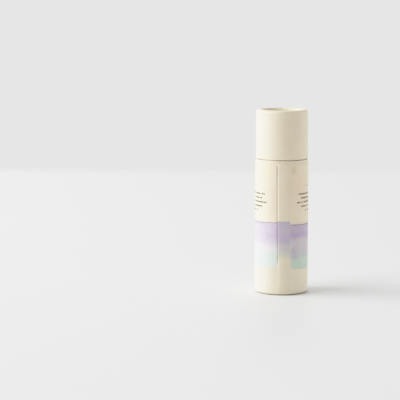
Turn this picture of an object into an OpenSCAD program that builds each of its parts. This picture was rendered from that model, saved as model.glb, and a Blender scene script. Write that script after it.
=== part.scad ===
// Push-up lip balm in a wound paperboard tube, cap on, standing on its base.
// Millimetres. The origin is the centre of the ring the tube stands on, +Z is
// up, and -Y is the side where the printed wrap laps over itself.
//
// The tube carries a narrower liner that stands up past the joint line as a
// neck. The cap slides over that neck and sits on the shoulder of the tube.
// A disc in the liner carries the balm, and a finger pushes it up from below.

/* [Overall] */
// Height of the closed tube
total_h = 67.7; // [66:0.05:70]
// Height of the joint line between the tube and its cap
joint_h = 49.55; // [48:0.05:50.5]
// Gap between the closed cap and the shoulder it sits on
joint_gap = 0.05; // [0.05:0.01:0.1]
// Rounding of the tube's shoulder and of the cap's mouth
edge_r = 0.38; // [0.2:0.02:0.6]

/* [Boards] */
// Bore of the liner, which the balm fills
bore_d = 15.1; // [14.8:0.1:15.4]
// Board thickness of the liner
liner_wall = 0.83; // [0.7:0.01:0.95]
// Board thickness of the tube
tube_wall = 1.21; // [1.1:0.01:1.4]
// Board thickness of the cap
cap_wall = 1.09; // [1:0.01:1.2]
// How far the liner stands up past the joint line
neck_h = 13; // [10:0.5:13]
// Radial clearance between the neck and the cap
cap_fit = 0.07; // [0.05:0.01:0.09]
// Radial clearance between the liner and what slides in it
push_fit = 0.05; // [0.03:0.01:0.08]

/* [Rolled edges] */
// Radial width of the rolled edge the tube stands on
foot_w = 2.7; // [2.5:0.05:2.9]
// Height of the board folded back up inside that edge
foot_h = 2.65; // [2.4:0.05:3]
// Rounding of that edge
foot_r = 0.65; // [0.5:0.05:1.1]
// Radial width of the rolled edge at the top of the cap
crown_w = 2.6; // [2.4:0.05:2.8]
// Depth from the crest of that edge down to the cap's disc
crown_h = 1.35; // [1.25:0.05:1.6]
// Rounding of that edge
crown_r = 1.15; // [0.9:0.05:1.15]
// Thickness of the cap's disc
cap_disc_t = 1.2; // [1:0.1:1.5]

/* [Balm] */
// Thickness of the push disc
push_disc_t = 3; // [2:0.1:4]
// Height of the balm cast on the push disc
balm_h = 50.8; // [44:0.1:51]

/* [Printed wrap] */
// Thickness of the paper
wrap_t = 0.17; // [0.1:0.01:0.2]
// Height where the wrap starts, above the rounding of the foot
wrap_z0 = 0.8; // [0.7:0.1:3]
// Bare band between the wrap's top edge and the joint line
wrap_below = 1.15; // [0.8:0.05:2]
// Edge of the lap that lies on top, in degrees from -Y towards +X
lap_from = -6.1; // [-20:0.1:0]
// End of the sheet under the lap, in degrees from -Y towards +X
lap_to = 18.9; // [15:0.1:40]

/* [Hidden] */
$fn = 120;
glue = 0.02;                                  // film of glue between layers

bore_r = bore_d / 2;
liner_ro = bore_r + liner_wall;
tube_ri = liner_ro + glue;
tube_ro = tube_ri + tube_wall;
cap_ri = liner_ro + cap_fit;
cap_ro = cap_ri + cap_wall;
wrap_ri = tube_ro + glue;
wrap_ro = wrap_ri + wrap_t;

cap_z0 = joint_h + joint_gap;
cap_disc_z1 = total_h - crown_h - glue;
cap_disc_z0 = cap_disc_z1 - cap_disc_t;
liner_z0 = foot_h + glue;
liner_z1 = min(joint_h + neck_h, cap_disc_z0 - 0.5);
push_z0 = foot_h + 0.05;
push_z1 = push_z0 + push_disc_t;
slide_r = bore_r - push_fit;
balm_z0 = push_z1 + glue;
balm_z1 = min(balm_z0 + balm_h, liner_z1 - 2);

card = [0.93, 0.91, 0.85];
card_in = [0.86, 0.79, 0.68];

// Section of an edge rolled inwards, crest at y = 0 and board above it:
// ro is the outside radius, w the radial width, h the height of the folded
// board, r the rounding. Both corners of the crest are quarter rounds.
module rolled_edge(ro, w, h, r) {
  translate([ro - w + r, 0]) square([w - 2 * r, h]);
  translate([ro - w, r]) square([w, h - r]);
  intersection() {
    for (x = [ro - w + r, ro - r]) translate([x, r]) circle(r);
    translate([ro - w, 0]) square([w, h]);
  }
}

// Section of a board standing from z0 to z1 with its outer top corner rounded
module round_topped_wall(ri, ro, z0, z1, r) {
  translate([ri, z0]) square([ro - ri, z1 - r - z0]);
  translate([ri, z0]) square([ro - r - ri, z1 - z0]);
  translate([ro - r, z1 - r]) circle(r);
}

// Outer tube, its lower edge rolled in to make the foot and hold the disc
module base_tube() {
  color(card)
    rotate_extrude() {
      rolled_edge(tube_ro, foot_w, foot_h, foot_r);
      round_topped_wall(tube_ri, tube_ro, foot_r, joint_h, edge_r);
    }
}

// Liner: stands on the folded board inside the foot, its upper end is the neck
module inner_tube() {
  color(card_in)
    rotate_extrude()
      translate([bore_r, liner_z0]) square([liner_wall, liner_z1 - liner_z0]);
}

// Push disc: rests on the folded board and slides up the liner
module push_disc() {
  color(card)
    translate([0, 0, push_z0]) cylinder(r = slide_r, h = push_disc_t);
}

// Balm cast on the push disc
module balm_stick() {
  color([0.95, 0.91, 0.74])
    translate([0, 0, balm_z0]) cylinder(r = slide_r, h = balm_z1 - balm_z0);
}

// Cap wall: rolled edge at the top, rounded mouth at the bottom
module cap_tube() {
  color(card)
    rotate_extrude()
      translate([0, total_h]) mirror([0, 1]) {
        rolled_edge(cap_ro, crown_w, crown_h, crown_r);
        round_topped_wall(cap_ri, cap_ro, crown_r, total_h - cap_z0, edge_r);
      }
}

// Disc that closes the cap, glued up against the rolled edge
module cap_disc() {
  color(card)
    translate([0, 0, cap_disc_z0]) cylinder(r = cap_ri - glue, h = cap_disc_t);
}

// Wedge of the plane between two angles from -Y towards +X, out to radius r
function at(a, r) = [r * sin(a), -r * cos(a)];
module wedge(a, b, r) {
  polygon([[0, 0], at(a, r), at((a + b) / 2, r), at(b, r)]);
}

// Paper wrap: one layer all round, and a second one where the sheet laps
module printed_wrap() {
  color([0.92, 0.88, 0.83])
    translate([0, 0, wrap_z0])
      linear_extrude(height = joint_h - wrap_below - wrap_z0) {
        difference() {
          circle(wrap_ro);
          circle(wrap_ri);
        }
        intersection() {
          difference() {
            circle(wrap_ro + wrap_t);
            circle(wrap_ri + wrap_t / 2);
          }
          wedge(lap_from, lap_to, 2 * wrap_ro);
        }
      }
}

base_tube();
inner_tube();
push_disc();
balm_stick();
cap_tube();
cap_disc();
printed_wrap();
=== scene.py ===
"""Looks for the push-up lip balm tube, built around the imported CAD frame.

Lengths in this file are millimetres and are turned into metres when a mesh is
made. Angles round the tube are in degrees from -Y towards +X, as in part.scad.
"""

import math

import bpy
import numpy as np
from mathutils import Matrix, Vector


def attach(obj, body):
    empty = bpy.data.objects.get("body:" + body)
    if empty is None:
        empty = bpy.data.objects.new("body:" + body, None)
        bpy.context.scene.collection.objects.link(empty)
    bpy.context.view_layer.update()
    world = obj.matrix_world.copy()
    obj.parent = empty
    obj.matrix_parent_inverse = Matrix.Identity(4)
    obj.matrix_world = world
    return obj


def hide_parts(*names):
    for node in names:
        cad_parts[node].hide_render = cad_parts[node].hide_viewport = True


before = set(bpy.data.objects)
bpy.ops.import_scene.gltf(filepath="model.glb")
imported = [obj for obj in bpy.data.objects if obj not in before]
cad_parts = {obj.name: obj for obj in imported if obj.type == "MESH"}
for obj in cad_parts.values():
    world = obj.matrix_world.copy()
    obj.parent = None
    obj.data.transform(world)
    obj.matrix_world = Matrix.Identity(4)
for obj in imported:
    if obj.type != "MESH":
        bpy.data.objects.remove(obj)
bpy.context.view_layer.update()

MM = 0.001
TAU = 2 * math.pi

# --------------------------------------------------------------------------
# Sizes, the same as in part.scad
# --------------------------------------------------------------------------
TOTAL_H = 67.7
JOINT_H = 49.55
CAP_Z0 = 49.6
EDGE_R = 0.38

BORE_R = 7.55
LINER_RO = 8.38
TUBE_RI = 8.40
TUBE_RO = 9.61
CAP_RI = 8.45
CAP_RO = 9.54
SLIDE_R = 7.50

FOOT_W, FOOT_H, FOOT_R = 2.70, 2.65, 0.65
CROWN_W, CROWN_H, CROWN_R = 2.60, 1.35, 1.15

LINER_Z0, LINER_Z1 = 2.67, 62.55
PUSH_Z0, PUSH_Z1 = 2.70, 5.70
BALM_Z0, BALM_Z1 = 5.72, 56.52
DISC_Z0, DISC_Z1 = 65.13, 66.33

WRAP_RI, WRAP_RO, WRAP_T = 9.63, 9.80, 0.17
WRAP_Z0, WRAP_Z1 = 0.8, 48.4
LAP_A, LAP_B = -6.1, 18.9
ARC = TAU * WRAP_RO / 360  # millimetres of the wrap's arc for a degree
LEAN = 0.0061  # how far the lap's edge leans to the left for a millimetre up


# --------------------------------------------------------------------------
# Small tools for curves and surfaces
# --------------------------------------------------------------------------
def arc(cx, cy, r, a0, a1, n):
    """n + 1 points of a circle's arc, angles in degrees."""
    a = np.radians(np.linspace(a0, a1, n + 1))
    return [(cx + r * math.cos(t), cy + r * math.sin(t)) for t in a]


def line(p, q, n):
    """n points from p towards q, without q."""
    return [
        (p[0] + (q[0] - p[0]) * i / n, p[1] + (q[1] - p[1]) * i / n) for i in range(n)
    ]


def smooth(lo, hi, x):
    t = np.clip((x - lo) / (hi - lo), 0.0, 1.0)
    return t * t * (3 - 2 * t)


def ripple(theta, z, seed, count=18, low=2, high=12, zlen=20.0):
    """A smooth random field of unit size round the axis: whole waves round theta, which it closes on, and slow waves along z."""
    rng = np.random.default_rng(seed)
    out = np.zeros(np.broadcast(theta, z).shape)
    for _ in range(count):
        k = int(rng.integers(low, high + 1))
        m = rng.uniform(-1, 1) * TAU / zlen
        out += rng.uniform(0.4, 1.0) * np.cos(
            k * theta + m * z + rng.uniform(0, TAU)
        )
    return out / math.sqrt(count * 0.26)


def crimps(theta, seed, count):
    """The small creases that the inside of a rolled board edge is pressed into: 0 between them, up to 1 at their bottom."""
    rng = np.random.default_rng(seed)
    at = np.cumsum(rng.uniform(0.45, 1.55, count))
    at *= TAU / at[-1]
    out = np.zeros(np.shape(theta))
    for a in at:
        wide = np.radians(rng.uniform(1.3, 2.9))
        d = (theta - a + math.pi) % TAU - math.pi
        out += rng.uniform(0.15, 1.0) ** 1.5 * np.exp(-((d / wide) ** 2))
    return out


def new_object(name, verts, faces, uvs=None, sheet=None, material=None):
    """A smooth mesh object from points in millimetres. uvs and sheet are per face corner."""
    me = bpy.data.meshes.new(name)
    me.from_pydata([tuple(v) for v in np.asarray(verts) * MM], [], faces)
    if uvs is not None:
        layer = me.uv_layers.new(name="OFBake")
        layer.uv.foreach_set("vector", np.asarray(uvs, np.float32).ravel())
    if sheet is not None:
        layer = me.uv_layers.new(name="sheet")
        layer.uv.foreach_set("vector", np.asarray(sheet, np.float32).ravel())
    me.validate()
    me.update()
    me.polygons.foreach_set("use_smooth", [True] * len(me.polygons))
    ob = bpy.data.objects.new(name, me)
    bpy.context.scene.collection.objects.link(ob)
    if material is not None:
        me.materials.append(material)
    return ob


def signed_volume(v, quads):
    a, b, c, d = (v[quads[:, i]] for i in range(4))
    return float(
        (np.cross(a, b) * c).sum() / 6 + (np.cross(a, c) * d).sum() / 6
    )


def lathe(name, prof, thetas, warp=None, strip=None, sheet=None, material=None):
    """Turns a closed section round Z. prof is a list of (r, z), thetas the angles in radians, rising through one turn.
    warp(theta, r, z) gives new (r, z, theta). strip is, per section edge, its share of the bake map's height.
    sheet(theta, z, mid) gives the second map's place of a corner of the face whose middle is at the angle mid.
    """
    prof = np.asarray(prof, float)
    k, n = len(prof), len(thetas)
    th = np.broadcast_to(np.asarray(thetas)[None, :], (k, n))
    r = np.broadcast_to(prof[:, :1], (k, n)).copy()
    z = np.broadcast_to(prof[:, 1:], (k, n)).copy()
    if warp is not None:
        r, z, th = warp(th, r, z)
    v = np.stack([r * np.sin(th), -r * np.cos(th), z], -1).reshape(-1, 3)
    i, j = np.meshgrid(np.arange(k), np.arange(n), indexing="ij")
    i2, j2 = (i + 1) % k, (j + 1) % n
    quads = np.stack(
        [i * n + j, i2 * n + j, i2 * n + j2, i * n + j2], -1
    ).reshape(-1, 4)
    flip = signed_volume(v, quads) < 0
    # the bake map: u round the axis, v along the section
    if strip is None:
        step = np.linalg.norm(np.roll(prof, -1, 0) - prof, axis=1)
        strip = step
    strip = np.asarray(strip, float)
    at = np.concatenate([[0], np.cumsum(strip)]) / strip.sum()
    t = np.concatenate([thetas, [thetas[0] + TAU]])
    u = (t - t[0]) / TAU
    lo, hi = at[i] * 0.996 + 0.002, at[i + 1] * 0.996 + 0.002
    ul, ur = u[j] * 0.996 + 0.002, u[j + 1] * 0.996 + 0.002
    uv = np.stack(
        [
            np.stack([ul, lo], -1),
            np.stack([ul, hi], -1),
            np.stack([ur, hi], -1),
            np.stack([ur, lo], -1),
        ],
        2,
    ).reshape(-1, 4, 2)
    sh = None
    if sheet is not None:
        zz = z
        tl, tr = t[j], t[j + 1]
        zl, zh = zz[i, j], zz[i2, j]
        zr, zrh = zz[i, j2], zz[i2, j2]
        mid = (tl + tr) / 2
        sh = np.stack(
            [
                np.stack(sheet(tl, zl, mid), -1),
                np.stack(sheet(tl, zh, mid), -1),
                np.stack(sheet(tr, zrh, mid), -1),
                np.stack(sheet(tr, zr, mid), -1),
            ],
            2,
        ).reshape(-1, 4, 2)
    if flip:
        quads = quads[:, ::-1]
        uv = uv[:, ::-1]
        sh = None if sh is None else sh[:, ::-1]
    return new_object(
        name,
        v,
        quads.tolist(),
        uv.reshape(-1, 2),
        None if sh is None else sh.reshape(-1, 2),
        material,
    )


def solid_disc(name, prof, n, warp=None, material=None):
    """Turns an open section whose two ends lie on the axis. The ends become poles."""
    prof = np.asarray(prof, float)
    thetas = np.arange(n) * TAU / n
    k = len(prof) - 2
    th = np.broadcast_to(thetas[None, :], (k, n))
    r = np.broadcast_to(prof[1:-1, :1], (k, n)).copy()
    z = np.broadcast_to(prof[1:-1, 1:], (k, n)).copy()
    z_ends = [prof[0, 1], prof[-1, 1]]
    if warp is not None:
        r, z, th = warp(th, r, z)
        z_ends = [
            float(warp(np.zeros((1, 1)), np.zeros((1, 1)), np.full((1, 1), e))[1][0, 0])
            for e in z_ends
        ]
    v = np.stack([r * np.sin(th), -r * np.cos(th), z], -1).reshape(-1, 3)
    v = np.vstack([v, [[0, 0, z_ends[0]], [0, 0, z_ends[1]]]])
    faces = []
    for a in range(k - 1):
        for j in range(n):
            j2 = (j + 1) % n
            faces.append((a * n + j, (a + 1) * n + j, (a + 1) * n + j2, a * n + j2))
    quads = np.array(faces)
    flip = signed_volume(v, quads) < 0
    first, last = k * n, k * n + 1
    for j in range(n):
        j2 = (j + 1) % n
        faces.append((first, j, j2))
        faces.append((last, (k - 1) * n + j2, (k - 1) * n + j))
    if flip:
        faces = [f[::-1] for f in faces]
    return new_object(name, v, faces, material=material)


# --------------------------------------------------------------------------
# Node helpers
# --------------------------------------------------------------------------
class Tree:
    """A material's node tree, with short calls for the nodes used here."""

    def __init__(self, name):
        self.mat = bpy.data.materials.new(name)
        self.mat.use_nodes = True
        self.nt = self.mat.node_tree
        self.bsdf = self.nt.nodes["Principled BSDF"]

    def put(self, socket, value):
        if isinstance(value, bpy.types.NodeSocket):
            self.nt.links.new(value, socket)
        else:
            socket.default_value = value

    def node(self, kind, **props):
        n = self.nt.nodes.new(kind)
        for key, value in props.items():
            setattr(n, key, value)
        return n

    def math(self, op, a, b=None, c=None, clamp=False):
        n = self.node("ShaderNodeMath", operation=op, use_clamp=clamp)
        for s, value in zip(n.inputs, (a, b, c)):
            if value is not None:
                self.put(s, value)
        return n.outputs[0]

    def add(self, a, b):
        return self.math("ADD", a, b)

    def sub(self, a, b):
        return self.math("SUBTRACT", a, b)

    def mul(self, a, b):
        return self.math("MULTIPLY", a, b)

    def step(self, x, lo, hi, out=(0.0, 1.0)):
        """A smooth step of x from lo to hi."""
        n = self.node("ShaderNodeMapRange", interpolation_type="SMOOTHSTEP")
        self.put(n.inputs["Value"], x)
        if hi < lo:
            lo, hi, out = hi, lo, out[::-1]
        for key, value in (
            ("From Min", lo),
            ("From Max", hi),
            ("To Min", out[0]),
            ("To Max", out[1]),
        ):
            self.put(n.inputs[key], value)
        return n.outputs["Result"]

    def range(self, x, lo, hi, a, b, clamp=True):
        n = self.node("ShaderNodeMapRange", clamp=clamp)
        self.put(n.inputs["Value"], x)
        for key, value in (
            ("From Min", lo),
            ("From Max", hi),
            ("To Min", a),
            ("To Max", b),
        ):
            self.put(n.inputs[key], value)
        return n.outputs["Result"]

    def mix(self, factor, a, b, blend="MIX"):
        n = self.node("ShaderNodeMix", data_type="RGBA", blend_type=blend)
        self.put(n.inputs["Factor"], factor)
        self.put(n.inputs[6], a)
        self.put(n.inputs[7], b)
        return n.outputs[2]

    def vec(self, x=0.0, y=0.0, z=0.0):
        n = self.node("ShaderNodeCombineXYZ")
        for s, value in zip(n.inputs, (x, y, z)):
            self.put(s, value)
        return n.outputs[0]

    def scaled(self, v, by):
        n = self.node("ShaderNodeVectorMath", operation="MULTIPLY")
        self.put(n.inputs[0], v)
        n.inputs[1].default_value = by
        return n.outputs[0]

    def split(self, v):
        n = self.node("ShaderNodeSeparateXYZ")
        self.put(n.inputs[0], v)
        return n.outputs

    def noise(self, v, scale, detail=3.0, rough=0.55, distort=0.0):
        n = self.node("ShaderNodeTexNoise")
        self.put(n.inputs["Vector"], v)
        n.inputs["Scale"].default_value = scale
        n.inputs["Detail"].default_value = detail
        n.inputs["Roughness"].default_value = rough
        n.inputs["Distortion"].default_value = distort
        return n.outputs["Fac"]

    def place(self):
        """The object's own coordinates, in millimetres."""
        return self.scaled(
            self.node("ShaderNodeTexCoord").outputs["Object"], (1000.0,) * 3
        )

    def bump(self, height, distance, strength=1.0, normal=None):
        n = self.node("ShaderNodeBump")
        n.inputs["Strength"].default_value = strength
        n.inputs["Distance"].default_value = distance
        self.put(n.inputs["Height"], height)
        if normal is not None:
            self.put(n.inputs["Normal"], normal)
        return n.outputs[0]


def rgb(r, g, b):
    """A colour given as sRGB 0 to 255, in Blender's linear form."""

    def lin(c):
        c /= 255
        return c / 12.92 if c <= 0.04045 else ((c + 0.055) / 1.055) ** 2.4

    return (lin(r), lin(g), lin(b), 1.0)


def paper(t, colour, mottle=0.05, at=None):
    """Paper's own look: slow shade from the pulp's clouding, fine fibre and rare flecks. Returns colour, height and roughness."""
    p = t.place() if at is None else at
    cloud = t.noise(p, 0.22, 3.0, 0.6)
    fibre = t.noise(t.scaled(p, (1.0, 1.0, 0.45)), 5.5, 4.0, 0.62, 0.6)
    grain = t.noise(p, 14.0, 2.0, 0.5)
    shade = t.add(
        t.range(cloud, 0.3, 0.7, 1 - mottle, 1.0),
        t.range(fibre, 0.3, 0.7, -0.018, 0.012),
    )
    n = t.node("ShaderNodeVectorMath", operation="SCALE")
    t.put(n.inputs[0], colour[:3])
    t.put(n.inputs["Scale"], shade)
    # short fibres lying in the face, thin contours of a slow noise where a
    # second one lets them show: some pale, some brown
    lines = t.math("ABSOLUTE", t.sub(t.noise(p, 1.5, 1.0, 0.5, 1.2), 0.5))
    strand = t.step(lines, 0.010, 0.002)
    patch = t.noise(t.scaled(p, (1.0, 1.0, 1.0)), 2.3, 1.0, 0.5)
    brown = t.mul(strand, t.step(patch, 0.60, 0.66))
    pale = t.mul(strand, t.step(patch, 0.40, 0.34))
    out = t.mix(t.mul(brown, 0.22), n.outputs[0], (0.42, 0.31, 0.19, 1))
    out = t.mix(t.mul(pale, 0.20), out, (0.98, 0.95, 0.90, 1))
    height = t.add(t.mul(fibre, 0.7), t.mul(grain, 0.3))
    height = t.add(height, t.mul(t.add(brown, pale), 0.25))
    rough = t.range(fibre, 0.3, 0.7, 0.56, 0.70)
    return out, height, rough


# --------------------------------------------------------------------------
# Materials
# --------------------------------------------------------------------------
CREAM = rgb(243, 231, 205)
CREAM_WRAP = rgb(246, 234, 208)
CREAM_IN = rgb(226, 206, 176)
PLY = rgb(206, 186, 156)
SHEEN = 0.12  # the fuzz of uncoated paper
# painted shade colours: a tan one for the joint's gap, the cap's recess and the disc's groove, a dark one for the
# foot's contact with the floor
EDGE_SHADE = (0.30, 0.215, 0.125, 1)
CONTACT_SHADE = (0.15, 0.13, 0.09, 1)


def board_material(name, colour, bump=0.016, cut=None, spiral=None, shaded=()):
    """Wound board faced with paper. cut is the ply thickness and colour of a cut edge, and the heights between which
    such an edge is; spiral is the pitch and width in mm of the wound strip's seam. shaded lists (z from, z to, r from,
    r to, how much, colour) and, where one side is darker, that side's x, or where one place is lighter, its (angle,
    half width) in radians: towards the second of each the board takes that colour, which is the lining's own colour or
    painted shade in the joint's gap, the recess, the groove and at the foot's contact.
    """
    t = Tree(name)
    col, height, rough = paper(t, colour)
    p = t.place()
    x, y, z = t.split(p)
    r = t.math("SQRT", t.add(t.mul(x, x), t.mul(y, y)))
    if spiral:
        pitch, width = spiral
        turn = t.mul(t.math("ARCTAN2", x, t.mul(y, -1.0)), 1 / TAU)
        wob = t.mul(t.sub(t.noise(p, 0.5, 1.0), 0.5), 0.004)
        f = t.math("FRACT", t.add(t.add(t.mul(z, 1 / pitch), turn), t.add(wob, 10.0)))
        d = t.mul(t.math("ABSOLUTE", t.sub(f, 0.5)), pitch)
        seam = t.step(d, 0.0, width)
        height = t.add(t.mul(height, 0.6), t.mul(seam, 1.1))
        col = t.mix(t.mul(t.sub(1.0, seam), 0.18), col, (0.35, 0.27, 0.18, 1))
    if cut:
        ply, normal, z_lo, z_hi = cut
        n = t.node("ShaderNodeNewGeometry")
        up = t.math("ABSOLUTE", t.split(n.outputs["Normal"])[2])
        end = t.step(up, 0.8, 0.97)
        end = t.mul(end, t.math("GREATER_THAN", z, z_lo))
        end = t.mul(end, t.math("LESS_THAN", z, z_hi))
        wob = t.mul(t.noise(p, 1.2, 2.0), 0.10)
        layer = t.math("FRACT", t.mul(t.add(r, wob), 1 / ply))
        dark = t.step(t.math("ABSOLUTE", t.sub(layer, 0.5)), 0.28, 0.5)
        fuzz = t.noise(t.scaled(p, (1.0, 1.0, 2.0)), 9.0, 3.0, 0.7)
        plies = t.mix(
            t.mul(t.add(dark, t.mul(fuzz, 0.5)), 0.45), normal, (0.42, 0.33, 0.22, 1)
        )
        col = t.mix(end, col, plies)
        height = t.add(height, t.mul(end, t.mul(dark, -1.2)))
    for z0, z1, r0, r1, much, mark, *side in shaded:
        where = t.step(t.add(z, t.mul(t.sub(t.noise(p, 1.1, 3.0), 0.5), 0.12)), z0, z1)
        if r0 is not None:
            where = t.mul(where, t.step(r, r0, r1))
        if side and isinstance(side[0], tuple):
            angle = t.math("ARCTAN2", x, t.mul(y, -1.0))
            away = t.math("ABSOLUTE", t.sub(angle, side[0][0]))
            where = t.mul(where, t.step(away, 0.5 * side[0][1], 1.3 * side[0][1], (0.15, 1.0)))
        elif side:
            where = t.mul(where, t.range(t.mul(x, 1 / side[0]), 0.0, 1.0, 0.0, 1.0))
        col = t.mix(t.mul(where, much), col, mark)
    t.put(t.bsdf.inputs["Base Color"], col)
    t.put(t.bsdf.inputs["Roughness"], rough)
    t.put(t.bsdf.inputs["Normal"], t.bump(height, bump * MM))
    t.bsdf.inputs["Specular IOR Level"].default_value = 0.5
    t.bsdf.inputs["Sheen Weight"].default_value = SHEEN
    t.bsdf.inputs["Sheen Roughness"].default_value = 0.45
    return t.mat


cap_mat = board_material(
    "cap_board",
    CREAM,
    cut=(0.27, PLY, CAP_Z0 - 1.0, CAP_Z0 + 0.3),
    shaded=(
        (TOTAL_H - 1.5, TOTAL_H - 1.7, 8.80, 8.65, 0.85, CREAM_IN),
        # painted shade in the joint's gap at the cap's mouth, painted lighter around -0.5 rad
        (CAP_Z0 + 0.34, CAP_Z0 + 0.06, None, None, 0.34, EDGE_SHADE, (-0.50, 0.27)),
        # painted shade on the left of the recess's inner roll, which faces away from the light
        (TOTAL_H - 0.05, TOTAL_H - 0.52, 8.15, 7.6, 0.38, EDGE_SHADE, -6.0),
        # painted shade deeper in the recess, and in the groove where the roll's end meets the disc
        (TOTAL_H - 0.50, TOTAL_H - 1.00, 7.7, 7.1, 0.05, EDGE_SHADE),
        (TOTAL_H - 1.08, TOTAL_H - 1.32, 7.4, 7.0, 0.42, EDGE_SHADE),
    ),
)
tube_mat = board_material(
    "tube_board",
    CREAM,
    cut=(0.30, PLY, JOINT_H - 0.3, JOINT_H + 1.0),
    shaded=(
        # painted shade in the joint's gap at the shoulder, painted lighter around -0.5 rad
        (JOINT_H - 0.30, JOINT_H - 0.06, None, None, 0.34, EDGE_SHADE, (-0.50, 0.27)),
        # painted contact shade at the foot: strong on its outer rounding, faint lower down and over the flat ring
        (0.66, 0.14, 8.75, 9.0, 0.80, CONTACT_SHADE),
        (0.30, 0.05, None, None, 0.20, CONTACT_SHADE),
    ),
)
liner_mat = board_material(
    "liner_board",
    CREAM_IN,
    bump=0.02,
    cut=(0.21, PLY, 0.0, 70.0),
    spiral=(38.0, 0.22),
)
disc_mat = board_material(
    "disc_board",
    rgb(246, 240, 224),
    bump=0.018,
    # painted shade at the disc's edge, in the groove against the roll
    shaded=((DISC_Z1 - 0.3, DISC_Z1 - 0.1, 6.70, 6.98, 0.45, EDGE_SHADE),),
)


def both_of(t, a, b):
    return t.math("MULTIPLY", a, b, clamp=True)


def balm_material():
    t = Tree("balm")
    p = t.place()
    cloud = t.noise(p, 0.16, 2.0, 0.5)
    bloom = t.noise(p, 1.6, 4.0, 0.65, 0.3)
    fine = t.noise(p, 3.0, 4.0, 0.6)
    drag = t.noise(t.scaled(p, (1.0, 1.0, 0.05)), 5.0, 3.0, 0.6)
    col = t.mix(t.range(cloud, 0.35, 0.65, 0.0, 1.0), rgb(244, 231, 191), rgb(240, 225, 178))
    # a faint white bloom, and pinholes left by air in the pour
    col = t.mix(t.range(bloom, 0.52, 0.72, 0.0, 0.30), col, rgb(250, 243, 220))
    cell = t.node("ShaderNodeTexVoronoi", feature="F1")
    t.put(cell.inputs["Vector"], p)
    cell.inputs["Scale"].default_value = 0.62
    here = t.step(t.split(cell.outputs["Color"])[0], 0.70, 0.72)
    pin = both_of(t, here, t.step(cell.outputs["Distance"], 0.085, 0.05))
    col = t.mix(t.mul(pin, 0.5), col, rgb(196, 172, 118))
    t.put(t.bsdf.inputs["Base Color"], col)
    t.put(t.bsdf.inputs["Roughness"], t.range(fine, 0.3, 0.7, 0.28, 0.46))
    relief = t.add(t.mul(fine, 0.5), t.mul(drag, 0.6))
    t.put(
        t.bsdf.inputs["Normal"],
        t.bump(t.sub(relief, t.mul(pin, 2.5)), 0.03 * MM),
    )
    t.bsdf.inputs["Subsurface Weight"].default_value = 0.35
    t.bsdf.inputs["Subsurface Radius"].default_value = (1.0, 0.75, 0.35)
    t.bsdf.inputs["Subsurface Scale"].default_value = 0.0015
    t.bsdf.inputs["Specular IOR Level"].default_value = 0.45
    return t.mat


balm_mat = balm_material()


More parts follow.
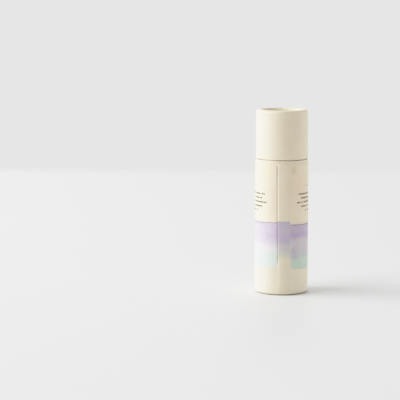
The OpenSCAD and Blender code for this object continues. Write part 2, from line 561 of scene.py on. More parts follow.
def wrap_material():
    """The printed sheet: fields of watercolour on cream paper. The map "sheet" holds the flat sheet's own place, in millimetres / 100: along it from the lap's edge, and up."""
    t = Tree("printed_paper")
    sx, sz, _ = t.split(t.node("ShaderNodeUVMap", uv_map="sheet").outputs[0])
    z = t.mul(sz, 100.0)
    turn = 360 * ARC
    s = t.add(t.mul(sx, 100.0), t.mul(t.sub(z, 12.0), LEAN))
    s = t.math("WRAP", s, turn, 0.0)
    lap = (LAP_B - LAP_A) * ARC

    def field(seed, wide, high, scale, detail=3.0, rough=0.55, distort=0.0):
        """Noise on the sheet about 0."""
        at = t.vec(t.mul(s, wide), t.mul(z, high), seed)
        return t.sub(t.noise(at, scale, detail, rough, distort), 0.5)

    slow = field(3.0, 1.0, 1.0, 0.10, 2.0)
    crisp = field(5.0, 1.0, 1.0, 1.1, 4.0, 0.65)
    bleed = field(9.0, 0.75, 1.0, 0.30, 4.0, 0.6, 0.4)
    bleed2 = field(14.0, 0.8, 1.0, 0.36, 4.0, 0.6, 0.4)
    pool = field(21.0, 1.0, 1.0, 0.22, 4.0, 0.55, 0.6)
    grain = field(33.0, 1.0, 1.0, 2.2, 4.0, 0.7)

    def blob(s0, z0, ws, wz):
        """A soft spot of wash with a wandering outline."""
        ds = t.mul(t.sub(t.add(s, t.mul(bleed2, 2.2 * ws)), s0), 1 / ws)
        dz = t.mul(t.sub(t.add(z, t.mul(bleed, 1.6 * wz)), z0), 1 / wz)
        r = t.math("SQRT", t.add(t.mul(ds, ds), t.mul(dz, dz)))
        return t.step(r, 1.25, 0.15)

    def both(a, b):
        return t.math("MULTIPLY", a, b, clamp=True)

    flap = t.step(s, lap + 0.04, lap - 0.04)
    left = t.step(s, 18.0, 47.0)

    # ---- the upper part: cream with thin warm washes
    col, height, rough = paper(t, CREAM_WRAP)
    col = t.mix(flap, col, (0.978, 0.972, 0.965, 1), "MULTIPLY")
    warm = t.mul(t.sub(1.0, t.mul(flap, 0.55)), t.step(t.add(z, t.mul(bleed, 8)), 24.0, 34.0))
    col = t.mix(t.mul(warm, t.range(pool, -0.2, 0.2, 0.35, 0.95)), col, (0.89, 0.752, 0.572, 1))
    for s0, z0, ws, wz, much, tint in (
        (5.8, 46.0, 1.6, 1.9, 0.90, (0.785, 0.655, 0.425, 1)),
        (4.4, 41.0, 2.2, 5.4, 0.60, (0.885, 0.745, 0.51, 1)),
        (9.0, 41.1, 2.6, 5.4, 0.75, (0.93, 0.742, 0.55, 1)),
        (57.6, 45.9, 2.2, 2.4, 0.75, (0.90, 0.805, 0.52, 1)),
        (59.7, 34.1, 1.5, 5.5, 0.5, (0.90, 0.72, 0.59, 1)),
        (5.6, 28.6, 1.7, 1.4, 0.65, (0.83, 0.79, 0.54, 1)),
        (21.0, 42.5, 5.0, 4.0, 0.8, (0.94, 0.75, 0.57, 1)),
        (30.0, 46.0, 3.0, 2.4, 0.7, (0.91, 0.80, 0.53, 1)),
        (36.5, 41.8, 3.4, 3.4, 0.6, (0.91, 0.72, 0.59, 1)),
        (43.0, 45.5, 1.8, 1.9, 0.7, (0.81, 0.68, 0.47, 1)),
        (50.0, 43.0, 3.2, 3.8, 0.7, (0.94, 0.76, 0.57, 1)),
        (27.0, 28.6, 3.0, 1.6, 0.5, (0.86, 0.80, 0.56, 1)),
        (47.0, 28.9, 2.2, 1.5, 0.5, (0.86, 0.80, 0.56, 1)),
    ):
        col = t.mix(t.mul(blob(s0, z0, ws, wz), much), col, tint)

    # ---- below the band the cream is a little greyer
    foot_zone = t.step(t.add(z, t.mul(bleed, 2.0)), 12.6, 9.4)
    col = t.mix(foot_zone, col, (0.945, 0.968, 0.985, 1), "MULTIPLY")

    # ---- the band: a milky ground, mint below, lavender above
    right = t.sub(1.0, left)
    on_right = t.mul(right, t.sub(1.0, flap))
    edge = t.add(t.mul(slow, 0.6), t.mul(crisp, 0.16))
    top = t.add(t.add(26.41, t.mul(flap, 1.11)), t.add(t.mul(t.step(s, 26.0, 48.0), 0.81), edge))
    top = t.sub(top, t.mul(t.add(t.step(s, 58.5, 52.5), t.mul(t.step(s, 8.0, 11.2), 0.9)), 0.20))
    top = t.add(top, t.mul(t.add(t.step(s, 1.8, 0.2), t.mul(t.step(s, 59.6, 61.2), 0.2)), 0.24))
    under = t.sub(top, z)
    inside = t.step(under, -0.05, 0.09)

    round_ = t.step(s, lap + 1.9, lap - 0.1)
    low = t.add(t.mul(left, 0.6), t.mul(t.step(s, 52.0, 61.0), 0.7))
    low = t.sub(low, t.mul(t.step(s, 7.0, 9.5), t.mul(right, 0.3)))
    low = t.add(t.add(9.62, low), t.add(t.mul(round_, 0.9), t.mul(edge, 1.3)))
    low = t.add(low, t.mul(flap, 3.6))
    soft = t.add(t.add(0.45, t.mul(left, 0.75)), t.mul(flap, 1.3))
    ground = t.math("DIVIDE", t.sub(z, low), soft)
    ground = t.step(ground, -1.0, 1.0)
    milk = t.mix(left, (0.79, 0.76, 0.66, 1), (0.85, 0.79, 0.795, 1))
    milk = t.mix(flap, milk, (0.70, 0.68, 0.61, 1))
    col = t.mix(both(t.mul(inside, 0.96), ground), col, milk)

    zm = t.add(z, t.mul(bleed2, 3.2))
    mint = both(t.step(zm, 17.4, 13.2), t.step(t.add(s, t.mul(crisp, 0.5)), lap + 0.05, lap + 0.75))
    mint_l = t.step(zm, 17.8, 15.4)
    mint = t.add(t.mul(mint, right), t.mul(mint_l, left))
    mint = both(mint, t.mul(ground, t.sub(1.0, flap)))
    mint = both(mint, t.add(0.97, t.add(t.mul(pool, 0.4), t.mul(grain, 0.2))))
    green = t.mix(left, (0.598, 0.715, 0.598, 1), (0.675, 0.797, 0.708, 1))
    green = t.mix(t.mul(t.step(s, 55.5, 60.5), 0.40), green, (0.84, 0.855, 0.78, 1))
    col = t.mix(mint, col, green)

    zl = t.add(z, t.mul(bleed, 2.6))
    right_d = t.sub(0.95, t.mul(t.step(zl, 22.8, 24.0), 0.12))
    right_d = t.sub(right_d, t.mul(t.step(s, 6.6, 9.0), 0.06))
    right_d = t.sub(right_d, t.mul(t.step(zl, 22.3, 19.4), 0.44))
    right_d = t.sub(right_d, t.mul(t.step(zl, 16.2, 11.8), 0.51))
    right_d = t.add(right_d, t.mul(blob(5.6, 16.5, 1.5, 1.7), 0.17))
    right_d = t.add(right_d, t.mul(blob(6.7, 14.3, 1.1, 1.7), 0.26))
    right_d = t.add(right_d, t.mul(blob(7.3, 21.7, 2.2, 1.1), 0.12))
    left_d = t.sub(0.68, t.mul(t.step(zl, 21.2, 15.8), 0.60))
    left_d = t.add(left_d, t.mul(t.step(s, 50.0, 40.0), 0.16))
    left_d = t.add(left_d, t.mul(blob(57.9, 22.2, 1.7, 0.9), 0.15))
    left_d = t.sub(left_d, t.mul(t.step(s, 55.5, 60.5), t.range(z, 15.0, 20.0, 0.14, 0.03)))
    flap_d = t.sub(0.74, t.mul(blob(1.8, 23.4, 2.6, 1.5), 0.12))
    flap_d = t.sub(flap_d, t.mul(blob(3.7, 23.9, 1.8, 1.1), 0.15))
    flap_d = t.sub(flap_d, t.mul(t.step(zl, 20.4, 17.8), 0.48))
    flap_d = t.sub(flap_d, t.mul(t.step(zl, 16.8, 15.2), 0.28))
    flap_d = t.add(flap_d, t.mul(blob(3.1, 17.2, 0.9, 0.8), 0.13))
    flap_d = t.sub(flap_d, t.mul(t.step(zl, 20.0, 18.6), 0.05))
    lav = t.add(t.mul(right_d, right), t.mul(left_d, left))
    lav = t.add(t.mul(lav, t.sub(1.0, flap)), t.mul(flap_d, flap))
    lav = t.mul(lav, t.add(1.0, t.add(t.mul(pool, 0.42), t.mul(grain, 0.15))))
    rim = t.mul(t.step(under, 0.75, 0.15), 0.08)
    rim = t.add(rim, t.mul(t.step(under, 1.7, 0.30), t.mul(both(left, t.step(s, 58.5, 55.5)), 0.24)))
    lav = both(t.add(lav, rim), inside)
    ink = t.mix(t.add(left, flap), (0.52, 0.425, 0.59, 1), (0.552, 0.452, 0.637, 1))
    col = t.mix(lav, col, ink)
    heavy = t.add(t.sub(0.44, t.mul(flap, 0.32)), t.mul(on_right, 0.34))
    heavy = t.add(heavy, t.mul(both(left, t.step(s, 59.0, 54.5)), 0.24))
    line_ = both(t.step(under, 0.48, 0.24), t.mul(inside, t.add(heavy, t.mul(crisp, 0.5))))
    col = t.mix(line_, col, (0.27, 0.23, 0.25, 1))
    above = both(t.step(under, -1.0, -0.85), t.step(under, -0.12, -0.30))
    col = t.mix(t.mul(both(above, on_right), 0.10), col, (0.30, 0.28, 0.27, 1))

    # ---- rows of dashes and a rule
    pitch = 1.53
    row = t.mul(t.sub(37.2, z), 1 / pitch)
    k = t.math("ROUND", row)
    hand = t.noise(t.vec(s, t.mul(k, 5.7), 4.0), 1.1, 1.0, 0.5)
    off = t.add(t.mul(t.sub(row, k), pitch), t.mul(t.sub(hand, 0.5), 0.30))
    off = t.math("ABSOLUTE", off)
    half = t.node("ShaderNodeFloatCurve")
    half.mapping.use_clip = False
    curve = half.mapping.curves[0]
    for n, length in enumerate((24.15, 22.9, 24.85, 22.9, 20.4)):
        at = (n / 4, length / 30)
        if n in (0, 4):
            curve.points[min(n, 1) if n == 0 else -1].location = at
        else:
            curve.points.new(*at)
    for point in curve.points:
        point.handle_type = "VECTOR"
    half.mapping.update()
    t.put(half.inputs["Value"], t.mul(k, 0.25))
    reach = t.mul(half.outputs[0], 30.0)
    along = t.sub(reach, t.math("ABSOLUTE", t.sub(s, 32.0)))
    word = t.noise(t.vec(t.mul(s, 1.0), t.mul(k, 7.3), 2.0), 0.95, 1.0, 0.4)
    body = t.noise(t.vec(s, t.mul(k, 3.1), 11.0), 2.2, 1.0, 0.5)
    thick = t.add(t.range(body, 0.35, 0.65, 0.20, 0.29), t.mul(left, 0.03))
    bar = both(t.step(t.sub(off, thick), 0.05, -0.05), t.step(word, 0.40, 0.44))
    bar = both(bar, t.step(along, -0.05, 0.05))
    bar = both(bar, both(t.step(k, -0.5, -0.4), t.step(k, 4.5, 4.4)))
    rule = both(
        t.step(t.math("ABSOLUTE", t.sub(z, 40.0)), 0.14, 0.07),
        t.step(t.math("ABSOLUTE", t.sub(s, 32.0)), 21.3, 21.1),
    )
    black = t.add(t.mul(bar, t.range(grain, -0.25, 0.25, 0.80, 1.0)), t.mul(rule, 0.38))
    pen = t.mix(left, (0.155, 0.090, 0.028, 1), (0.100, 0.092, 0.075, 1))
    col = t.mix(black, col, pen)

    # ---- the lap: painted shade in the crease along its open edge, a painted
    # highlight on that edge's lip, and painted shade and highlight in a thin
    # dark tick and pale line along the step where the sheet below ends
    from_end = t.sub(turn, s)
    far = t.range(z, 36.0, 46.0, 0.82, 1.05)
    far = t.sub(far, t.mul(both(t.step(z, 13.0, 15.0), t.step(z, 24.0, 21.5)), 0.30))
    far = t.sub(far, t.mul(both(t.step(z, 25.5, 27.5), t.step(z, 34.5, 32.5)), 0.12))
    far = t.math("DIVIDE", from_end, far)
    # painted shade beside the lap's edge, darkest at the step and deeper in places
    crease_shade = both(t.step(far, 1.0, 0.14), t.step(from_end, -0.01, 0.02))
    crease_shade = both(crease_shade, t.range(slow, -0.2, 0.2, 0.8, 1.0))
    crease_shade = both(crease_shade, both(t.step(z, 10.4, 14.0), t.step(z, 48.0, 47.3)))
    col = t.mix(crease_shade, col, (0.745, 0.745, 0.765, 1), "MULTIPLY")
    deep = t.add(t.step(z, 42.0, 46.0), t.mul(both(t.step(z, 13.5, 15.0), t.step(z, 23.5, 21.0)), 1.4))
    col = t.mix(t.mul(t.mul(crease_shade, deep), 0.42), col, (0.80, 0.79, 0.785, 1), "MULTIPLY")
    tight_shade = both(t.step(from_end, 0.46, 0.20), t.step(from_end, -0.01, 0.02))
    tight_shade = both(tight_shade, both(t.step(z, 11.2, 14.0), t.step(z, 26.0, 22.0)))
    col = t.mix(t.mul(tight_shade, 0.62), col, (0.62, 0.60, 0.60, 1), "MULTIPLY")
    # a painted highlight along the lap edge's lip
    lip = both(t.step(s, 0.36, 0.20), t.step(z, 11.0, 14.5))
    strong = t.add(t.range(z, 27.6, 28.5, 0.0, 0.66), t.mul(t.step(z, 25.2, 23.4), 0.22))
    lip = t.mul(lip, strong)
    col = t.mix(lip, col, (0.95, 0.89, 0.75, 1))
    gate = t.add(
        both(t.step(z, 15.3, 16.9), t.step(z, 20.2, 18.3)),
        both(t.step(z, 25.2, 26.3), t.step(z, 28.1, 27.0)),
    )
    gate = t.math("MAXIMUM", gate, both(t.step(z, 13.0, 15.0), 0.22))
    # painted shade (dark tick) and painted highlight (pale line) of the step over the buried sheet end
    shade_tick = both(t.step(s, lap - 0.42, lap - 0.22), t.step(s, lap + 0.03, lap - 0.05))
    col = t.mix(t.mul(both(shade_tick, gate), 0.22), col, (0.33, 0.29, 0.29, 1))
    pale = both(t.step(s, lap - 0.04, lap + 0.06), t.step(s, lap + 0.46, lap + 0.30))
    col = t.mix(t.mul(both(pale, gate), 0.52), col, (0.90, 0.86, 0.82, 1))

    t.put(t.bsdf.inputs["Base Color"], col)
    gloss = t.mul(t.add(lav, mint), -0.05)
    t.put(t.bsdf.inputs["Roughness"], t.add(rough, gloss))
    t.put(t.bsdf.inputs["Normal"], t.bump(height, 0.014 * MM))
    t.bsdf.inputs["Specular IOR Level"].default_value = 0.4
    t.bsdf.inputs["Sheen Weight"].default_value = SHEEN
    t.bsdf.inputs["Sheen Roughness"].default_value = 0.45
    return t.mat


wrap_mat = wrap_material()

# --------------------------------------------------------------------------
# The board tube: rolled foot, straight wall, rounded shoulder
# --------------------------------------------------------------------------
EVEN = np.arange(320) * TAU / 320
FINE = np.arange(480) * TAU / 480


def rolled(ro, w, h, r, n=12):
    """Section of a rolled edge from the outer wall round the crest to the end of the folded board, crest at z = 0."""
    ri = ro - w
    tip = 0.28
    return (
        arc(ro - r, r, r, 0, -90, n)
        + arc(ri + r, r, r, -90, -180, n)
        + line((ri, r + 0.01), (ri, h - tip), 3)
        + arc(ri + tip, h - tip, tip, 180, 90, 6)
    )


foot = rolled(TUBE_RO, FOOT_W, FOOT_H, FOOT_R)
tube_prof = (
    foot
    + line((TUBE_RI - 0.02, FOOT_H), (TUBE_RI, FOOT_H + 0.02), 1)
    + line((TUBE_RI, FOOT_H + 0.03), (TUBE_RI, JOINT_H - 0.06), 12)
    + arc(TUBE_RI + 0.06, JOINT_H - 0.06, 0.06, 180, 90, 3)
    + arc(TUBE_RO - EDGE_R, JOINT_H - EDGE_R, EDGE_R, 90, 0, 10)
    + line((TUBE_RO, JOINT_H - EDGE_R - 0.05), (TUBE_RO, FOOT_R + 0.05), 16)
)


def tube_warp(th, r, z):
    low = smooth(2.6, 0.35, z) * smooth(0.02, 0.35, z)
    inner = low * smooth(8.6, 7.2, r)
    r = r + 0.020 * low * ripple(th, z, 11, 20, 3, 14)
    r = r + inner * (0.050 * crimps(th, 12, 46) + 0.008 * ripple(th, z, 15, 18, 6, 30))
    # the shoulder, slightly uneven, with a nick where the facing paper ends
    high = smooth(JOINT_H - 1.4, JOINT_H - 0.3, z) * smooth(8.6, 9.3, r)
    r = r + 0.018 * high * ripple(th, z, 13, 18, 2, 16)
    a = np.degrees((th + math.pi) % TAU - math.pi)
    nick = np.exp(-(((a + 3.0) / 1.5) ** 2))
    r = r - 0.16 * high * nick
    z = z - 0.10 * high * nick
    return r, z, th


tube = lathe("board_tube", tube_prof, FINE, tube_warp, material=tube_mat)
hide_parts("base_tube")
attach(tube, "base")

# --------------------------------------------------------------------------
# The liner: its upper end is the neck
# --------------------------------------------------------------------------
e = 0.10
liner_prof = (
    line((BORE_R, LINER_Z0), (LINER_RO, LINER_Z0), 2)
    + line((LINER_RO, LINER_Z0), (LINER_RO, LINER_Z1 - e), 30)
    + arc(LINER_RO - e, LINER_Z1 - e, e, 0, 90, 4)
    + line((LINER_RO - e - 0.02, LINER_Z1), (BORE_R + e + 0.02, LINER_Z1), 5)
    + arc(BORE_R + e, LINER_Z1 - e, e, 90, 180, 4)
    + line((BORE_R, LINER_Z1 - e - 0.01), (BORE_R, LINER_Z0 + 0.01), 30)
)


def liner_warp(th, r, z):
    high = smooth(LINER_Z1 - 1.0, LINER_Z1, z)
    z = z + high * 0.009 * ripple(th, r * 6, 21, 24, 2, 26, 6.0)
    r = r - high * 0.02 * (1 + ripple(th, z, 22, 18, 3, 20)) * smooth(8.0, 8.3, r)
    return r, z, th


liner = lathe("neck_liner", liner_prof, EVEN, liner_warp, material=liner_mat)
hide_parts("inner_tube")
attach(liner, "base")

# --------------------------------------------------------------------------
# Push disc and balm
# --------------------------------------------------------------------------
push_prof = (
    [(0, PUSH_Z0)]
    + [(x, PUSH_Z0) for x in (1.2, 2.6, 4.0, 5.2, 6.2, 6.9)]
    + arc(SLIDE_R - 0.25, PUSH_Z0 + 0.25, 0.25, -90, 0, 5)
    + line((SLIDE_R, PUSH_Z0 + 0.4), (SLIDE_R, PUSH_Z1 - 0.1), 10)
    + arc(SLIDE_R - 0.1, PUSH_Z1 - 0.1, 0.1, 0, 90, 3)
    + [(x, PUSH_Z1) for x in (6.0, 4.0, 2.0)]
    + [(0, PUSH_Z1)]
)
push = solid_disc("push_plate", push_prof, 192, material=disc_mat)
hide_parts("push_disc")
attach(push, "plunger")

balm_prof = (
    [(0, BALM_Z0)]
    + [(x, BALM_Z0) for x in (2.5, 5.0, 7.0)]
    + arc(SLIDE_R - 0.15, BALM_Z0 + 0.15, 0.15, -90, 0, 3)
    + line((SLIDE_R, BALM_Z0 + 0.3), (SLIDE_R, BALM_Z1 - 0.25), 60)
    + arc(SLIDE_R - 0.22, BALM_Z1 - 0.22, 0.22, 0, 90, 6)
    + [(x, BALM_Z1) for x in np.linspace(SLIDE_R - 0.3, 0.25, 34)]
    + [(0, BALM_Z1)]
)


def balm_warp(th, r, z):
    """A poured face: it sank a little as it set, with a soft dimple off the centre, and the side keeps the liner's faint marks."""
    top = smooth(BALM_Z1 - 0.3, BALM_Z1, z)
    x, y = r * np.sin(th), -r * np.cos(th)
    sink = 0.34 * (1 - (r / SLIDE_R) ** 4)
    dimple = 0.22 * np.exp(-(((x - 0.9) / 1.9) ** 2) - ((y + 0.6) / 1.7) ** 2)
    swirl = 0.020 * np.sin(2.1 * r + 2 * th + 0.6 * np.sin(1.3 * x - y))
    z = z - top * (sink + dimple) + top * swirl * smooth(0, 2, r) * smooth(7.4, 6.4, r)
    side = smooth(SLIDE_R - 0.1, SLIDE_R, r) * (1 - top)
    r = r - side * 0.012 * (1 + ripple(th, z, 31, 18, 4, 30, 60.0))
    return r, z, th


balm = solid_disc("balm", balm_prof, 224, balm_warp, material=balm_mat)
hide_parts("balm_stick")
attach(balm, "plunger")

# --------------------------------------------------------------------------
# The cap
# --------------------------------------------------------------------------
crown = [(r, TOTAL_H - z) for r, z in rolled(CAP_RO, CROWN_W, CROWN_H, CROWN_R, 14)]
cap_prof = (
    crown
    + line((CAP_RI - 0.02, TOTAL_H - CROWN_H), (CAP_RI, TOTAL_H - CROWN_H - 0.02), 1)
    + line((CAP_RI, TOTAL_H - CROWN_H - 0.04), (CAP_RI, CAP_Z0 + 0.1), 12)
    + arc(CAP_RI + 0.1, CAP_Z0 + 0.1, 0.1, 180, 270, 4)
    + arc(CAP_RO - EDGE_R, CAP_Z0 + EDGE_R, EDGE_R, 270, 360, 10)
    + line((CAP_RO, CAP_Z0 + EDGE_R + 0.05), (CAP_RO, TOTAL_H - CROWN_R - 0.02), 24)
)


CAP_SEAM = math.radians(148.0)


def cap_warp(th, r, z):
    depth = TOTAL_H - z
    a = np.degrees((th - CAP_SEAM + math.pi) % TAU - math.pi)
    facing = smooth(9.35, 9.5, r) * smooth(0.5, 1.6, depth)
    r = r + 0.045 * facing * smooth(-0.10, 0.10, a) * smooth(13.0, 4.0, a)
    r = r - 0.030 * facing * smooth(-0.45, -0.12, a) * smooth(0.02, -0.12, a)
    low = smooth(CROWN_H + 0.1, 0.4, depth) * smooth(0.0, 0.3, depth)
    inner = low * smooth(8.4, 7.3, r)
    r = r + 0.016 * low * ripple(th, z, 41, 20, 3, 14)
    r = r + inner * (0.055 * crimps(th, 42, 52) + 0.008 * ripple(th, z, 45, 18, 6, 30))
    crest = smooth(0.25, 0.0, depth)
    z = z - crest * 0.012 * (1 + ripple(th, r, 43, 18, 2, 18))
    mouth = smooth(CAP_Z0 + 1.2, CAP_Z0 + 0.1, z) * smooth(8.7, 9.4, r)
    r = r + 0.014 * mouth * ripple(th, z, 44, 18, 2, 14)
    return r, z, th


at_seam = CAP_SEAM + np.radians(np.linspace(-0.7, 0.45, 20))
cap_angles = np.concatenate([FINE[(FINE < at_seam[0] - 0.003) | (FINE > at_seam[-1] + 0.003)], at_seam])
cap = lathe("cap_wall", cap_prof, np.sort(cap_angles), cap_warp, material=cap_mat)
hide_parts("cap_tube")
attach(cap, "cap")

dr = CAP_RI - 0.02
lid_prof = (
    [(0, DISC_Z0)]
    + [(x, DISC_Z0) for x in (2.0, 4.0, 6.0, 7.6)]
    + arc(dr - 0.15, DISC_Z0 + 0.15, 0.15, -90, 0, 4)
    + arc(dr - 0.2, DISC_Z1 - 0.2, 0.2, 0, 90, 4)
    + [(x, DISC_Z1) for x in np.linspace(dr - 0.4, 0.3, 24)]
    + [(0, DISC_Z1)]
)


def lid_warp(th, r, z):
    top = smooth(DISC_Z1 - 0.2, DISC_Z1, z)
    x, y = r * np.sin(th), -r * np.cos(th)
    dish = 0.05 * np.cos(0.35 * x + 0.5) * np.cos(0.3 * y - 0.2)
    return r, z - top * (0.05 - 0.6 * dish) * smooth(8.0, 6.5, r), th


lid = solid_disc("cap_plate", lid_prof, 192, lid_warp, material=disc_mat)
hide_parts("cap_disc")
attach(lid, "cap")

# --------------------------------------------------------------------------
# The printed wrap: one sheet, lapped at the front
# --------------------------------------------------------------------------
def wrap_angles():
    """Angles from the lap's edge, close together where the sheet steps."""
    lap = LAP_B - LAP_A
    a = [
        np.linspace(-6.0, 4.0, 90, endpoint=False),
        np.linspace(4.0, lap - 6.0, 24, endpoint=False),
        np.linspace(lap - 6.0, lap + 6.0, 80, endpoint=False),
        np.linspace(lap + 6.0, 354.0, 300, endpoint=False),
    ]
    return np.radians(np.concatenate(a) + LAP_A)


def wrap_surface(th, z):
    """Radius of the sheet's outside at an angle and height."""
    a = np.degrees(th) - LAP_A
    a = (a + 180) % 360 - 180
    s = a * ARC + LEAN * (z - 12.0)
    s = s - 0.02 * np.sin(z * 0.11 + 0.7) - 0.01 * np.sin(z * 0.53 + 2.0)
    lap = (LAP_B - LAP_A) * ARC
    # pressed flat where the sheet turns over the ends, and stuck down softly
    # below the band
    ends = smooth(WRAP_Z1 - 0.2, WRAP_Z1 - 1.6, z) * smooth(WRAP_Z0, WRAP_Z0 + 2.6, z)
    open_ = smooth(9.5, 14.0, z)
    groove = -0.09 * smooth(-0.85, -0.35, s) * smooth(0.03, -0.06, s) * open_
    up = smooth(-0.03, 0.12, s) * open_ + smooth(-0.8, 0.9, s) * (1 - open_)
    lip = 0.012 * np.exp(-(((s - 0.18) / 0.12) ** 2)) * open_
    down = smooth(lap + 0.9, lap - 0.3, s)
    ridge = 0.03 * np.exp(-(((s - lap + 0.35) / 0.35) ** 2)) * (0.5 + 0.5 * np.sin(z * 0.23 + 1.0))
    over = WRAP_T * np.minimum(up, down)
    return WRAP_RO + over * (0.25 + 0.55 * ends) + (groove + (lip + ridge) * up) * ends


e = 0.07
n_up = 60
wrap_prof = (
    [(WRAP_RO, z) for z in np.linspace(WRAP_Z0 + e, WRAP_Z1 - e, n_up)]
    + arc(WRAP_RO - e, WRAP_Z1 - e, e, 25, 90, 3)
    + [(WRAP_RI, WRAP_Z1), (WRAP_RI, WRAP_Z1 - 0.4)]
    + [(WRAP_RI, z) for z in np.linspace(WRAP_Z1 - 2, WRAP_Z0 + 2, 8)]
    + [(WRAP_RI, WRAP_Z0 + 0.4), (WRAP_RI, WRAP_Z0)]
    + arc(WRAP_RO - e, WRAP_Z0 + e, e, -90, -25, 3)
)


def wrap_warp(th, r, z):
    outer = smooth(WRAP_RI, WRAP_RO, r)
    out = wrap_surface(th, z) + 0.006 * ripple(th, z, 51, 24, 3, 22, 9.0)
    r = r + outer * (out - WRAP_RO)
    rim = smooth(WRAP_Z1 - 0.5, WRAP_Z1, z) - smooth(WRAP_Z0 + 0.5, WRAP_Z0, z)
    z = z + rim * 0.03 * ripple(th, 0 * z, 52, 12, 1, 7)
    return r, z, th


def wrap_strip():
    """Almost all of the bake map goes to the outside."""
    p = np.asarray(wrap_prof, float)
    step = np.linalg.norm(np.roll(p, -1, 0) - p, axis=1)
    inside = p[:, 0] < WRAP_RI + 0.01
    step[inside] *= 0.02
    return step


def wrap_sheet(th, z, mid):
    """Where a point lies on the flat sheet, in millimetres / 100 from its edge."""
    s = (np.degrees(th) - LAP_A) * ARC
    s = np.where(np.degrees(mid) < LAP_A, s + 360 * ARC, s)
    return s / 100, z / 100


thw = wrap_angles()
wrap = lathe(
    "paper_wrap",
    wrap_prof,
    thw,
    wrap_warp,
    wrap_strip(),
    wrap_sheet,
    material=wrap_mat,
)
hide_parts("printed_wrap")
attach(wrap, "base")

# --------------------------------------------------------------------------
# Floor, light and camera
# --------------------------------------------------------------------------
scene = bpy.context.scene


def stage_floor():
    """A pale floor that ends in a soft edge, where the studio behind shows through. The tube hides a hole in it inside the foot's ring, which lets light reach the finger opening and the foot in views from below."""
    me = bpy.data.meshes.new("floor")
    n, half = 8, 0.6
    at = [(-half + 2 * half * i / n, -half + 2 * half * j / n, 0) for j in range(n + 1) for i in range(n + 1)]
    faces = [
        (j * (n + 1) + i, j * (n + 1) + i + 1, (j + 1) * (n + 1) + i + 1, (j + 1) * (n + 1) + i)
        for j in range(n)
        for i in range(n)
    ]
    me.from_pydata(at, [], faces)
    ob = bpy.data.objects.new("floor", me)
    scene.collection.objects.link(ob)
    t = Tree("floor")
    x, y, _ = t.split(t.node("ShaderNodeTexCoord").outputs["Object"])
    power = [t.math("POWER", t.math("ABSOLUTE", c), 8.0) for c in (x, y)]
    far = t.math("POWER", t.add(*power), 0.125)
    t.bsdf.inputs["Base Color"].default_value = FLOOR
    t.bsdf.inputs["Roughness"].default_value = 0.6
    t.bsdf.inputs["Specular IOR Level"].default_value = 0.2
    clear = t.node("ShaderNodeBsdfTransparent").outputs[0]
    seen = t.node("ShaderNodeLightPath").outputs["Is Camera Ray"]
    below = t.mul(t.node("ShaderNodeNewGeometry").outputs["Backfacing"], seen)
    mixed = t.node("ShaderNodeMixShader")
    radius = t.math("SQRT", t.add(t.mul(x, x), t.mul(y, y)))
    hole = t.math("LESS_THAN", radius, t.sub(0.00915, t.mul(seen, 0.0002)))
    away = t.math("MAXIMUM", t.step(far, 0.345, 0.408), hole)
    t.put(mixed.inputs[0], t.math("MAXIMUM", away, below))
    t.put(mixed.inputs[1], t.bsdf.outputs[0])
    t.put(mixed.inputs[2], clear)
    out = t.nt.nodes["Material Output"]
    t.put(out.inputs["Surface"], mixed.outputs[0])
    me.materials.append(t.mat)


FLOOR = (0.835, 0.835, 0.835, 1)
stage_floor()

# The sky lights the tube evenly from all round, its extra overhead (SKY_TOP)
# being 0, and shows behind it as one even tone.
SKY_SIDE, SKY_TOP, BACKDROP = 0.26, 0.0, 0.477


def studio():
    world = bpy.data.worlds.new("studio")
    world.use_nodes = True
    nt = world.node_tree
    sky = nt.nodes["Background"]
    at = nt.nodes.new("ShaderNodeTexCoord")
    xyz = nt.nodes.new("ShaderNodeSeparateXYZ")
    nt.links.new(at.outputs["Generated"], xyz.inputs[0])
    high = nt.nodes.new("ShaderNodeMath")
    high.operation = "MULTIPLY"
    nt.links.new(xyz.outputs[2], high.inputs[0])
    nt.links.new(xyz.outputs[2], high.inputs[1])
    level = nt.nodes.new("ShaderNodeMath")
    level.operation = "MULTIPLY_ADD"
    nt.links.new(high.outputs[0], level.inputs[0])
    level.inputs[1].default_value = SKY_TOP
    level.inputs[2].default_value = SKY_SIDE
    sky.inputs["Color"].default_value = (1, 1, 1, 1)
    nt.links.new(level.outputs[0], sky.inputs["Strength"])
    wall = nt.nodes.new("ShaderNodeBackground")
    wall.inputs["Color"].default_value = (1, 1, 1, 1)
    wall.inputs["Strength"].default_value = BACKDROP
    path = nt.nodes.new("ShaderNodeLightPath")
    mixed = nt.nodes.new("ShaderNodeMixShader")
    nt.links.new(path.outputs["Is Camera Ray"], mixed.inputs[0])
    nt.links.new(sky.outputs[0], mixed.inputs[1])
    nt.links.new(wall.outputs[0], mixed.inputs[2])
    nt.links.new(mixed.outputs[0], nt.nodes["World Output"].inputs[0])
    scene.world = world


studio()


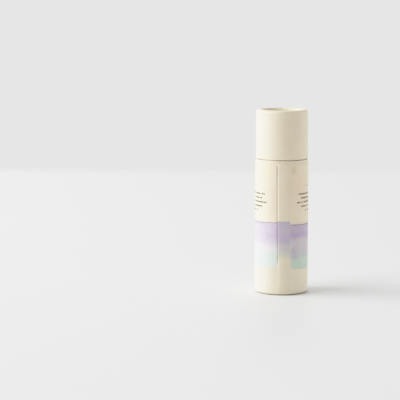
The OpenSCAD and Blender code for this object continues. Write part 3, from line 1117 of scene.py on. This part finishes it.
def area(name, azimuth, elevation, distance, width, height, power, colour=(1, 1, 1)):
    """A rectangular light aimed at the tube. Azimuth is in degrees from -Y towards +X."""
    a, e = math.radians(azimuth), math.radians(elevation)
    aim = np.array([0, 0, 0.034])
    at = aim + distance * np.array(
        [math.sin(a) * math.cos(e), -math.cos(a) * math.cos(e), math.sin(e)]
    )
    li = bpy.data.lights.new(name, "AREA")
    li.shape, li.size, li.size_y = "RECTANGLE", width, height
    li.energy, li.color = power, colour
    ob = bpy.data.objects.new(name, li)
    scene.collection.objects.link(ob)
    ob.location = at
    ob.rotation_mode = "QUATERNION"
    ob.rotation_quaternion = Vector(aim - at).to_track_quat("-Z", "Y")
    return ob


# Soft panels: a row of them from the left, low and higher up, as a window would
# be, one high in front on the left, and faint fills from the right and behind.
for azimuth, elevation, power in (
    (-150, 15, 0.32),
    (-105, 15, 1.89),
    (-90, 15, 3.08),
    (-75, 15, 0.72),
    (-105, 35, 0.53),
    (-90, 35, 0.83),
    (-75, 35, 0.72),
    (-60, 35, 0.52),
    (180, 35, 0.89),
    (-135, 60, 0.26),
    (-60, 60, 1.09),
    (105, 8, 1.26),
    (120, 8, 0.35),
    (150, 10, 0.65),
):
    area(f"panel{azimuth}_{elevation}", azimuth, elevation, 1.2, 0.32, 0.42, power)


def camera():
    """Placed by a fit of the tube's outline, joint and foot in the photograph: 1600 pixels of focal length in a 400 pixel frame."""
    cam = bpy.data.cameras.new("camera")
    cam.sensor_width = 36.0
    cam.lens = 144.0
    cam.clip_start, cam.clip_end = 0.02, 30.0
    ob = bpy.data.objects.new("camera", cam)
    scene.collection.objects.link(ob)
    ob.location = (0.0, -0.5864, 0.11308)
    ob.rotation_euler = (math.radians(90 - 7.69), 0.0, math.radians(2.946))
    scene.camera = ob


camera()

# a soft film shoulder, so that the lit side rolls off as it does in the photograph
vs = scene.view_settings
vs.view_transform = "Standard"
vs.look = "None"
vs.use_curve_mapping = True
curve = vs.curve_mapping.curves[3]
points = [
    (0.0, 0.0),
    (0.10, 0.192),
    (0.23, 0.429),
    (0.30, 0.552),
    (0.335, 0.617),
    (0.415, 0.730),
    (0.46, 0.776),
    (0.56, 0.862),
    (0.72, 0.922),
    (0.85, 0.945),
    (1.0, 0.965),
]
curve.points[0].location = points[0]
curve.points[1].location = points[-1]
for x, y in points[1:-1]:
    curve.points.new(x, y)
vs.curve_mapping.update()

scene.cycles.use_denoising = True
